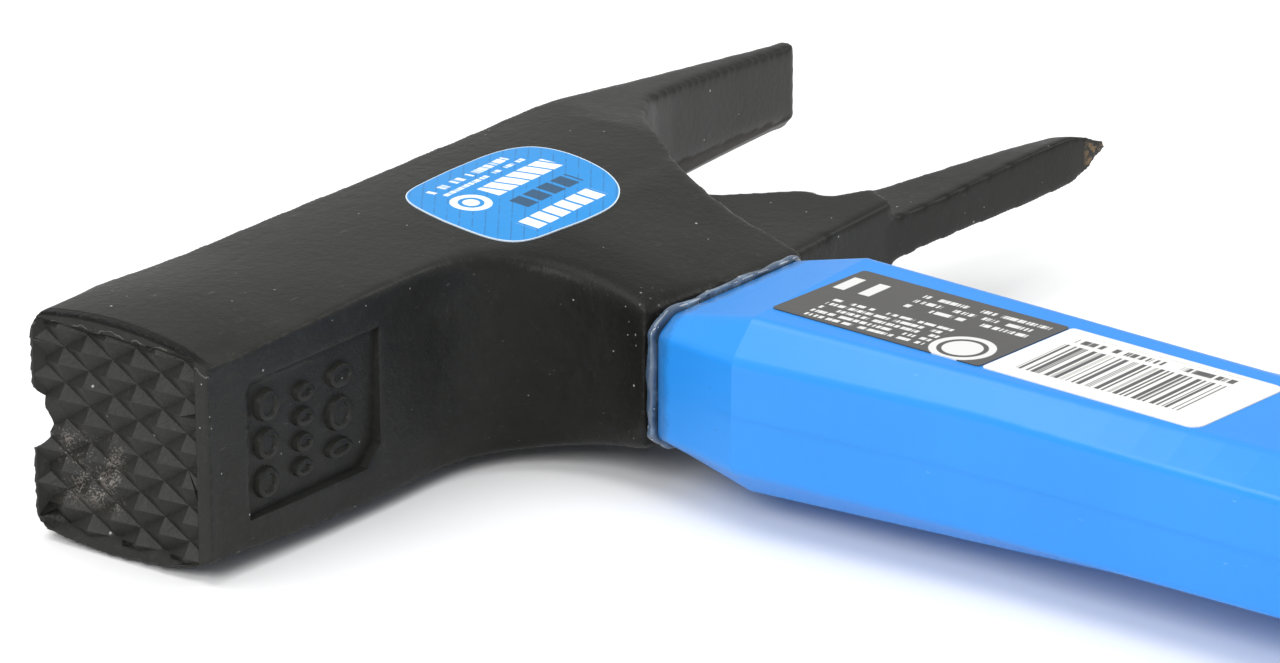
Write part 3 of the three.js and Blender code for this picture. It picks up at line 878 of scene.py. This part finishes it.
def rounded_corners(corners, reach, count):
    """The corners of a closed outline, each turned into a short curve."""
    outline = []
    befores, afters = corners[-1:] + corners[:-1], corners[1:] + corners[:1]
    for before, corner, after in zip(befores, corners, afters):
        corner = Vector(corner)
        start = (Vector(before) - corner).normalized() * reach
        end = (Vector(after) - corner).normalized() * reach
        for step in range(count):
            part = step / (count - 1)
            outline.append(tuple(corner + start * (1 - part) ** 2 + end * part**2))
    return outline


def jacket_profile(y, arris=0.9):
    """The octagon at y, with a fine parting ridge along the middle of each side."""
    side, flat, half_z, side_z = between(JACKET_STATIONS, y)
    ridge = 0.15 * smoothstep(LEAD_IN_Y + 8, LEAD_IN_Y, y)
    octagon = [(side, side_z), (flat, half_z), (-flat, half_z), (-side, side_z)]
    octagon += [(-x, -z) for x, z in octagon]
    corners = rounded_corners(octagon, arris, 6)
    half = len(corners) // 2
    line = [(-side, 0.22), (-side - ridge, 0), (-side, -0.22)]
    opposite = [(-x, -z) for x, z in line]
    outline = corners[:half] + line + corners[half:] + opposite
    return [(AXIS_X + x, z) for x, z in outline]


def window_outline(clearance, count=64):
    """A long slot with round ends, as x and y."""
    half_x, half_y = 6.5 - clearance, 37 - clearance
    points = []
    for index in range(count):
        angle = math.tau * (index + 0.5) / count
        end = half_y - half_x if math.sin(angle) > 0 else half_x - half_y
        across, along = half_x * math.cos(angle), half_x * math.sin(angle)
        points.append((AXIS_X + across, WINDOW_Y + end + along))
    return points


def slab(outline, low, high):
    """A flat outline in x and y made solid between two heights."""
    bm = bmesh.new()
    bmesh.ops.create_circle(bm, cap_ends=True, segments=len(outline), radius=1)
    for vertex, (x, y) in zip(bm.verts, outline):
        vertex.co = (x, y, low)
    made = bmesh.ops.extrude_face_region(bm, geom=bm.faces[:])["geom"]
    for vertex in verts_of(made):
        vertex.co.z = high
    bmesh.ops.recalc_face_normals(bm, faces=bm.faces)
    return bm


def grip_size(y):
    """The grip's half width and half thickness, with its shallow ribs."""
    half_x, half_z = between(GRIP_STATIONS, y)
    rib = 0.5 - 0.5 * math.cos(math.tau * (y + 190) / 5.2)
    band = smoothstep(-190, -194, y) * smoothstep(-284, -280, y)
    depth = 0.55 * band * rib ** 3
    top_roll = 0.9 * smoothstep(GRIP_TOP_Y - 2.2, GRIP_TOP_Y, y)
    butt_roll = 2.6 * smoothstep(BUTT_Y + 4, BUTT_Y, y) ** 2
    inset = depth + top_roll + butt_roll
    return half_x - inset, half_z - inset


# ---------------------------------------------------------------- labels


def draped(piece_below, outline, name, lift, thick):
    """A thin film that lies on a piece: a disc shaped to an outline and laid on its surface."""
    bm = bmesh.new()
    # How far out from the film's middle each point is, from 0 to 1
    out = bm.verts.layers.float.new("edge")
    bmesh.ops.create_circle(bm, cap_ends=True, cap_tris=True, segments=len(outline), radius=1)
    middle = sum((Vector(point) for point in outline), Vector((0, 0))) / len(outline)
    rim = [v for v in bm.verts if v.is_boundary]
    for vertex in bm.verts:
        vertex.co = (*middle, 0)
    for vertex, point in zip(rim, outline):
        vertex.co = (*point, 0)
    spokes = [edge for edge in bm.edges if not edge.is_boundary]
    for vertex in rim:
        vertex[out] = 1.0
    bmesh.ops.subdivide_edges(bm, edges=spokes, cuts=28, use_grid_fill=True)
    below = bmesh.new()
    below.from_mesh(piece_below.data)
    bmesh.ops.transform(below, matrix=TO_HEAD, verts=below.verts)
    surface = BVHTree.FromBMesh(below)
    below.free()
    for vertex in bm.verts:
        hit = surface.ray_cast((vertex.co.x, vertex.co.y, 60), (0, 0, -1))[0]
        if hit is None:
            raise RuntimeError(f"{name} hangs over the edge of {piece_below.name}")
        vertex.co.z = hit.z + lift
    bmesh.ops.recalc_face_normals(bm, faces=bm.faces)
    if bm.faces[0].normal.z < 0:
        bmesh.ops.reverse_faces(bm, faces=bm.faces)
    bmesh.ops.solidify(bm, geom=bm.faces[:], thickness=thick)
    return workpiece(bm, name)


def spline(points, count):
    """A closed smooth outline through a few points."""
    outline = []
    total = len(points)
    for index in range(count):
        place = index / count * total
        k = int(place)
        part = place - k
        a, b, c, d = (Vector(points[(k + offset) % total]) for offset in (-1, 0, 1, 2))
        square, cube = (2 * a - 5 * b + 4 * c - d) * part**2, (3 * b - a - 3 * c + d) * part**3
        outline.append(tuple(0.5 * (2 * b + (c - a) * part + square + cube)))
    return outline


def strip_outline(top, bottom, round_top, round_bottom):
    """A label's outline down the handle, set a little askew, with its corners rounded."""
    corners = [
        (LABEL_HALF_WIDTH, top, round_top, 0),
        (-LABEL_HALF_WIDTH, top, round_top, 90),
        (-LABEL_HALF_WIDTH, bottom, round_bottom, 180),
        (LABEL_HALF_WIDTH, bottom, round_bottom, 270),
    ]
    cosine, sine = math.cos(-LABEL_TURN), math.sin(-LABEL_TURN)
    outline = []
    for x, y, radius, first in corners:
        cx = x - math.copysign(radius, x)
        cy = y - radius if y == top else y + radius
        for step in range(9):
            angle = math.radians(first + step * 90 / 8)
            px = cx + radius * math.cos(angle)
            py = cy + radius * math.sin(angle) - LABEL_Y + LABEL_SKEW * px
            outline.append(
                (LABEL_X + px * cosine - py * sine, LABEL_Y + px * sine + py * cosine)
            )
    return outline


# ---------------------------------------------------------------- settings


def colour_property(name, description, default):
    return bpy.props.FloatVectorProperty(
        name=name, description=description, default=default, subtype="COLOR", size=3, min=0, max=1
    )


def power_property(name, description, default):
    return bpy.props.FloatProperty(
        name=name, description=description, default=default, unit="POWER", min=0
    )


def length_property(name, description, default):
    return bpy.props.FloatProperty(
        name=name, description=description, default=default, unit="LENGTH", precision=5, min=0
    )


class HammerHeadSettings(bpy.types.PropertyGroup):
    forging_grain: length_property("Forging grain", "Size of the forged skin's facets", 0.00045)
    scale_depth: length_property("Scale depth", "Depth of the hollows in the forged skin", 0.00006)
    peel_height: length_property("Peel height", "Height of the lacquer's orange peel", 0.00012)
    tooth_pitch_y: length_property("Tooth pitch across", "Distance across the face", 0.00744)
    tooth_pitch_z: length_property("Tooth pitch up", "Distance up the face", 0.00461)
    tooth_depth: length_property("Tooth depth", "Height of the face's pointed teeth", 0.0013)
    edge_rounds: bpy.props.IntProperty(
        name="Edge rounds", description="Passes that round the forging's edges", default=56, min=0
    )
    gloss: bpy.props.FloatProperty(
        name="Gloss", description="Strength of the lacquer's reflection", default=0.16, min=0, max=1
    )
    lacquer_dark: colour_property("Lacquer, dark", "Where it lies thick", (0.0145, 0.0145, 0.0125))
    lacquer_light: colour_property("Lacquer, light", "Where it lies thin", (0.028, 0.028, 0.025))
    worn_tip: colour_property("Worn tip", "Bare metal at the spike's tip", (0.2, 0.13, 0.06))


class HammerHandleSettings(bpy.types.PropertyGroup):
    arris: length_property("Arris", "Width of the bevel along the jacket's edges", 0.0009)
    blue_deep: colour_property("Blue, deep", "The jacket's deeper blue", (0.015, 0.222, 0.68))
    blue_light: colour_property("Blue, light", "The jacket's lighter blue", (0.022, 0.262, 0.76))
    rubber: colour_property("Rubber", "The grip's colour", (0.012, 0.012, 0.014))
    resin_dark: colour_property("Resin, clear", "Resin over the dark socket", (0.05, 0.085, 0.14))
    resin_milky: colour_property("Resin, milky", "Resin with trapped air", (0.14, 0.22, 0.32))


class HammerLabelSettings(bpy.types.PropertyGroup):
    film_lift: length_property("Film lift", "How far a film's top stands off its surface", 0.00015)
    label_blue: colour_property("Cheek label", "Ground of the cheek label", (0.014, 0.26, 0.66))
    grey: colour_property("Care label", "Ground of the care label", (0.05, 0.049, 0.047))
    white: colour_property("Stock label", "Ground of the stock label", (0.8, 0.8, 0.77))


class HammerStageSettings(bpy.types.PropertyGroup):
    floor: colour_property("Floor", "Colour of the floor", (0.92, 0.92, 0.92))
    daylight: bpy.props.FloatProperty(
        name="Daylight", description="Strength of the even light all round", default=0.58, min=0
    )
    key_power: power_property("Key light", "Power of the large soft light", 18)
    front_power: power_property("Front light", "Power of the soft light before the face", 18)
    rim_power: power_property("Rim light", "Power of the soft light behind the handle", 6)
    lens: bpy.props.FloatProperty(
        name="Lens", description="The camera's focal length", default=182.8, unit="CAMERA"
    )


# ---------------------------------------------------------------- operators


class HAMMER_OT_stage(bpy.types.Operator):
    """Sets the floor, the soft light and the camera"""

    bl_idname = "hammer.stage"
    bl_label = "Stage"

    def execute(self, context):
        settings = context.scene.hammer_stage
        bm = bmesh.new()
        bmesh.ops.create_circle(bm, cap_ends=True, segments=96, radius=9)
        bmesh.ops.translate(bm, verts=bm.verts, vec=(0, 0, CAD_LOW.z - 0.0004))
        floor = workpiece(bm, "floor")
        floor.data.materials.append(floor_surface(settings))
        self.add_light(context, "key", (-0.2, 0.5, 1.7), 1.6, settings.key_power)
        self.add_light(context, "front", (-1.4, -0.2, 1.1), 0.9, settings.front_power)
        self.add_light(context, "rim", (1.4, -0.65, 0.95), 0.85, settings.rim_power)
        self.add_world(context, settings)
        self.add_camera(context, settings)
        return {"FINISHED"}

    def add_light(self, context, name, place, size, power):
        lamp = bpy.data.lights.new(name, "AREA")
        lamp.shape = "DISK"
        lamp.size = size
        lamp.energy = power
        light = bpy.data.objects.new(name, lamp)
        light.location = place
        light.rotation_euler = (-light.location).to_track_quat("-Z", "Y").to_euler()
        context.scene.collection.objects.link(light)

    def add_world(self, context, settings):
        world = bpy.data.worlds.new("daylight")
        world.use_nodes = True
        background = world.node_tree.nodes["Background"]
        background.inputs["Color"].default_value = (1, 1, 1, 1)
        background.inputs["Strength"].default_value = settings.daylight
        context.scene.world = world
        context.scene.view_settings.view_transform = "Standard"

    def add_camera(self, context, settings):
        lens = bpy.data.cameras.new("camera")
        lens.lens = settings.lens
        lens.sensor_width = 36
        lens.clip_start = 0.01
        camera = bpy.data.objects.new("camera", lens)
        ahead, right = CAMERA_AHEAD.normalized(), CAMERA_RIGHT.normalized()
        up = right.cross(ahead)
        turn = Matrix((right, up, -ahead)).transposed().to_4x4()
        camera.matrix_world = Matrix.Translation(TO_ROW @ CAMERA_PLACE) @ turn
        context.scene.collection.objects.link(camera)
        context.scene.camera = camera


class HAMMER_OT_head(bpy.types.Operator):
    """Builds the forged head with its toothed face, stamped panel, claw and spike"""

    bl_idname = "hammer.head"
    bl_label = "Forged Head"

    def execute(self, context):
        settings = context.scene.hammer_head
        piece = forged_blank(settings)
        piece = pit(soften(piece, settings), settings)
        modified(piece, "DECIMATE", ratio=0.56)
        for side in (-1, 1):
            piece = cut(piece, furrows(side, settings))
        piece = stamped_marks(cut(piece, panel_cutter()))
        finished(piece, forged_steel(settings), "forged_steel", "head", crease=38.0)
        piece.modifiers.new("even_shading", "WEIGHTED_NORMAL").keep_sharp = True
        return {"FINISHED"}


class HAMMER_OT_magnet(bpy.types.Operator):
    """Builds the round nail magnet in the groove"""

    bl_idname = "hammer.magnet"
    bl_label = "Nail Magnet"

    def execute(self, context):
        low, high = (TO_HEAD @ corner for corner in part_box("nail_magnet"))
        middle = (low + high) / 2
        place = Matrix.Translation(middle) @ Matrix.Rotation(math.radians(90), 4, "X")
        bm = bmesh.new()
        radius = (high.x - low.x) / 2
        bmesh.ops.create_cone(
            bm, cap_ends=True, segments=64, radius1=radius, radius2=radius,
            depth=high.y - low.y, matrix=place,
        )
        rims = [edge for edge in bm.edges if edge.calc_face_angle(0) > 1]
        bmesh.ops.bevel(
            bm, geom=rims, offset=0.35, segments=3, profile=0.5, affect="EDGES", material=-1
        )
        finished(workpiece(bm, "magnet"), magnet_metal(), "magnet_metal", "nail_magnet")
        return {"FINISHED"}


class HAMMER_OT_eye(bpy.types.Operator):
    """Builds the potting resin in the eye, and finishes the glass-fibre core"""

    bl_idname = "hammer.eye"
    bl_label = "Resin and Core"

    def execute(self, context):
        settings = context.scene.hammer_handle
        piece = workpiece(copy_of("eye_resin"), "potting_resin")
        modified(piece, "REMESH", mode="VOXEL", voxel_size=0.4)
        modified(piece, "SMOOTH", factor=0.5, iterations=5)
        # The bead at the mouth is lumpier than the resin in the eye
        pushed(
            piece,
            lambda place: (noise.noise(place / 3.4) - 0.4)
            * lerp(0.1, 0.35, smoothstep(-36, -38, place.y)),
        )
        finished(piece, clear_resin(settings), "clear_resin", "eye_resin", crease=60.0)
        repaint("glass_fibre_core", glass_fibre())
        return {"FINISHED"}


class HAMMER_OT_jacket(bpy.types.Operator):
    """Builds the moulded blue jacket with its facets, parting line and grip windows"""

    bl_idname = "hammer.jacket"
    bl_label = "Handle Jacket"

    def execute(self, context):
        settings = context.scene.hammer_handle
        ys = [JACKET_STATIONS[0][0] + 3] + steps(-43, LEAD_IN_Y + 0.5, 3) + [LEAD_IN_Y]
        ys += steps(LEAD_IN_Y - 0.5, GRIP_TOP_Y - 3, 5)
        bm = tube(ys, lambda y: jacket_profile(y, mm(settings.arris)))
        mouth = JOINT_BACK - JOINT_FRONT
        slant = Vector((-mouth.y, mouth.x, 0)).normalized()
        below_joint = JOINT_FRONT - slant * 2.1
        rim = sliced(bm, below_joint, -slant)
        ends = bmesh.ops.holes_fill(bm, edges=rim)["faces"]
        bmesh.ops.inset_region(bm, faces=ends, thickness=0.5, depth=0.35)
        bmesh.ops.recalc_face_normals(bm, faces=bm.faces)
        piece = workpiece(bm, "handle_jacket_skin")
        finished(piece, blue_plastic(settings), "blue_plastic", "handle_jacket", crease=70.0)
        piece.modifiers.new("even_shading", "WEIGHTED_NORMAL").keep_sharp = True
        self.add_pads(piece.data.materials[0])
        return {"FINISHED"}

    def add_pads(self, material):
        """The long pads that show through the grip's windows."""
        bm = bmesh.new()
        for side in (-1, 1):
            height = between(GRIP_STATIONS, WINDOW_Y)[1] - 0.9
            pad = slab(window_outline(0.35), side * 9, side * height)
            top = [
                edge for edge in pad.edges
                if all(abs(abs(vertex.co.z) - height) < 0.01 for vertex in edge.verts)
            ]
            bmesh.ops.bevel(
                pad, geom=top, offset=0.7, segments=4, profile=0.5, affect="EDGES", material=-1
            )
            mesh = bpy.data.meshes.new("pad")
            pad.to_mesh(mesh)
            pad.free()
            bm.from_mesh(mesh)
            bpy.data.meshes.remove(mesh)
        finished(workpiece(bm, "window_pads"), material, "blue_plastic", "handle_jacket")


class HAMMER_OT_grip(bpy.types.Operator):
    """Builds the ribbed rubber grip with its windows and hanging hole"""

    bl_idname = "hammer.grip"
    bl_label = "Rubber Grip"

    def execute(self, context):
        settings = context.scene.hammer_handle
        ys = steps(GRIP_TOP_Y, GRIP_TOP_Y - 2.4, 0.6) + steps(GRIP_TOP_Y - 3, BUTT_Y + 4.5, 0.65)
        ys += steps(BUTT_Y + 4, BUTT_Y, 0.5)
        bm = tube(ys, lambda y: rounded_box(*grip_size(y), 3.2, 72))
        piece = workpiece(bm, "ribbed_grip")
        for side in (-1, 1):
            cutter = workpiece(slab(window_outline(0), side * 10, side * 30), "window")
            cut(piece, cutter)
        hole = []
        for index in range(48):
            angle = math.tau * index / 48
            across, along = HANG_HOLE_RADIUS * math.cos(angle), HANG_HOLE_RADIUS * math.sin(angle)
            hole.append((AXIS_X + across, HANG_HOLE_Y + along))
        cut(piece, workpiece(slab(hole, -30, 30), "hole"))
        finished(piece, grip_rubber(settings), "grip_rubber", "rubber_grip", crease=38.0)
        return {"FINISHED"}


class HAMMER_OT_labels(bpy.types.Operator):
    """Lays the printed films on the cheek and on the handle"""

    bl_idname = "hammer.labels"
    bl_label = "Labels"

    def execute(self, context):
        settings = context.scene.hammer_labels
        lift = mm(settings.film_lift)
        head = bpy.data.objects["hammer_head"]
        jacket = bpy.data.objects["handle_jacket_skin"]
        cheek = spline(
            [(56.2, -0.5), (64.4, 1.2), (77, 0.1), (81.2, -4.9), (79, -15.7), (71.9, -21.5),
             (60.4, -21.3), (52.8, -19.1), (52.2, -9.8)],
            96,
        )
        care = strip_outline(-56.2, -86.2, 0.6, 0.6)
        stock = strip_outline(-86.5, -116.4, 0.6, 1.6)
        films = (
            (head, cheek, "cheek_film", blue_film, "blue_film", "head_label"),
            (jacket, care, "care_film", grey_film, "grey_film", "care_label"),
            (jacket, stock, "stock_film", white_film, "white_film", "stock_label"),
        )
        for below, outline, name, surface, slot, node in films:
            piece = draped(below, outline, name, lift, lift + 0.02)
            finished(piece, surface(settings), slot, node, crease=50.0)
        return {"FINISHED"}


class HAMMER_PT_panel(bpy.types.Panel):
    """Lists the hammer's pieces"""

    bl_idname = "HAMMER_PT_panel"
    bl_label = "Roofing Hammer"
    bl_space_type = "VIEW_3D"
    bl_region_type = "UI"
    bl_category = "Hammer"

    def draw(self, context):
        for group in SETTINGS:
            box = self.layout.box()
            settings = getattr(context.scene, group)
            for name in settings.bl_rna.properties.keys():
                if name not in ("name", "rna_type"):
                    box.prop(settings, name)
        for operator in OPERATORS:
            self.layout.operator(operator.bl_idname)


SETTINGS = {
    "hammer_head": HammerHeadSettings,
    "hammer_handle": HammerHandleSettings,
    "hammer_labels": HammerLabelSettings,
    "hammer_stage": HammerStageSettings,
}
OPERATORS = (
    HAMMER_OT_stage,
    HAMMER_OT_head,
    HAMMER_OT_magnet,
    HAMMER_OT_eye,
    HAMMER_OT_jacket,
    HAMMER_OT_grip,
    HAMMER_OT_labels,
)


def register():
    for settings in SETTINGS.values():
        bpy.utils.register_class(settings)
    for name, settings in SETTINGS.items():
        setattr(bpy.types.Scene, name, bpy.props.PointerProperty(type=settings))
    for operator in OPERATORS:
        bpy.utils.register_class(operator)
    bpy.utils.register_class(HAMMER_PT_panel)


def unregister():
    bpy.utils.unregister_class(HAMMER_PT_panel)
    for operator in reversed(OPERATORS):
        bpy.utils.unregister_class(operator)
    for name in SETTINGS:
        delattr(bpy.types.Scene, name)
    for settings in reversed(SETTINGS.values()):
        bpy.utils.unregister_class(settings)


def main():
    register()
    bpy.ops.hammer.stage()
    bpy.ops.hammer.head()
    bpy.ops.hammer.magnet()
    bpy.ops.hammer.eye()
    bpy.ops.hammer.jacket()
    bpy.ops.hammer.grip()
    bpy.ops.hammer.labels()


if __name__ == "__main__":
    main()
